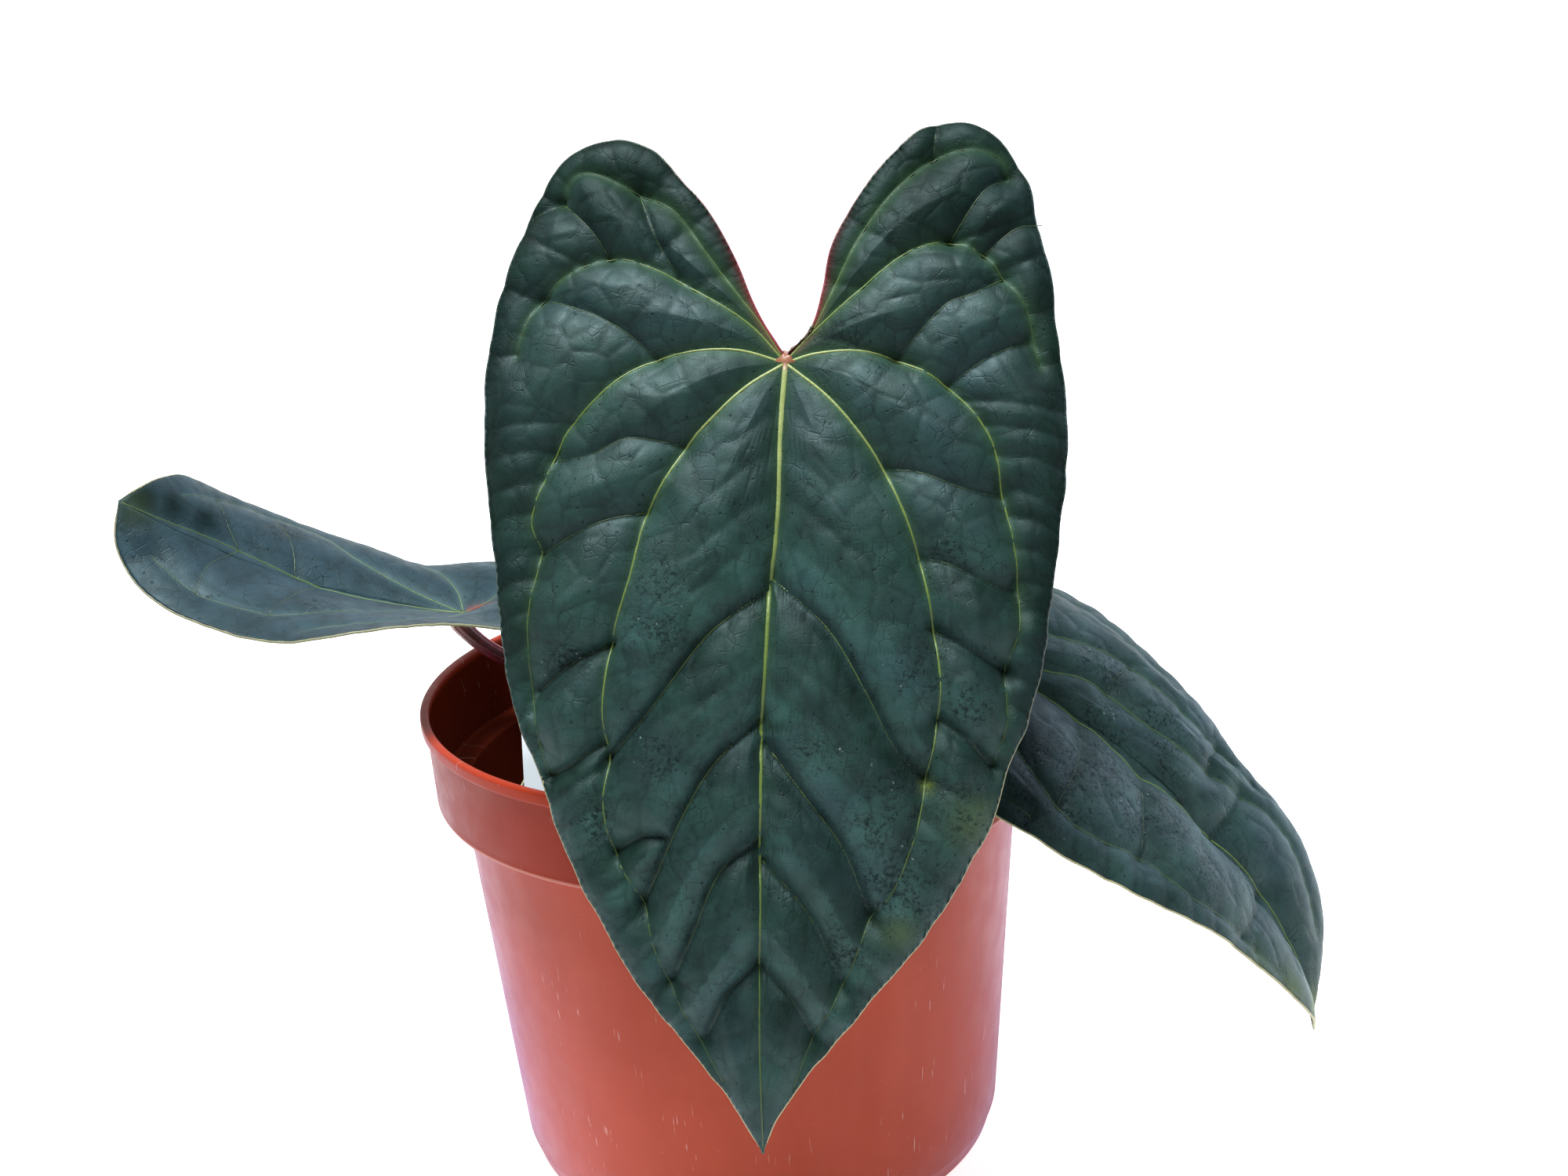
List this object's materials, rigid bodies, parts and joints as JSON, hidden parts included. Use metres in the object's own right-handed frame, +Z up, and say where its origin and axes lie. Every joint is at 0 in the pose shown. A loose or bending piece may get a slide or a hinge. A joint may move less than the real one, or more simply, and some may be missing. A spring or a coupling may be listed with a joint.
{
  "type": "potted anthurium",
  "caption": "Velvet-leaved foliage plant with heart-shaped blades on long arching stalks, growing in a round plastic nursery pot with a blank plant label.",
  "frame": {"origin": "centre of the pot's flat base, on the surface that it stands on", "axes": "+Z up along the pot's axis; the large leaf's upper side faces -Y and the smaller leaves reach towards -X and +X"},
  "size_m": [0.2303, 0.1512, 0.2135],
  "materials": {
    "pot_plastic": "terracotta-coloured moulded plastic with a satin surface and light scuffs",
    "potting_mix": "dark moist bark and peat crumbs",
    "blade": "velvety dark blue-green leaf with pale yellow-green veins",
    "petiole": "smooth ribbed dark red leaf stalk",
    "crown": "short green-brown stem",
    "sheath": "dry papery brown",
    "root": "pale tan, slightly felted",
    "label": "blank white semi-gloss plastic"
  },
  "bodies": {
    "root": {"pot": "pot_plastic", "potting_mix": "potting_mix", "plant_label": "label", "crown": "crown", "sheath_front": "sheath", "sheath_back": "sheath", "root_left": "root", "root_front": "root", "root_right": "root", "leaf_main": "blade", "leaf_left": "blade", "leaf_right": "blade", "leaf_young": "blade", "petiole_main": "petiole", "petiole_left": "petiole", "petiole_right": "petiole", "petiole_young": "petiole"}
  },
  "joints": []
}
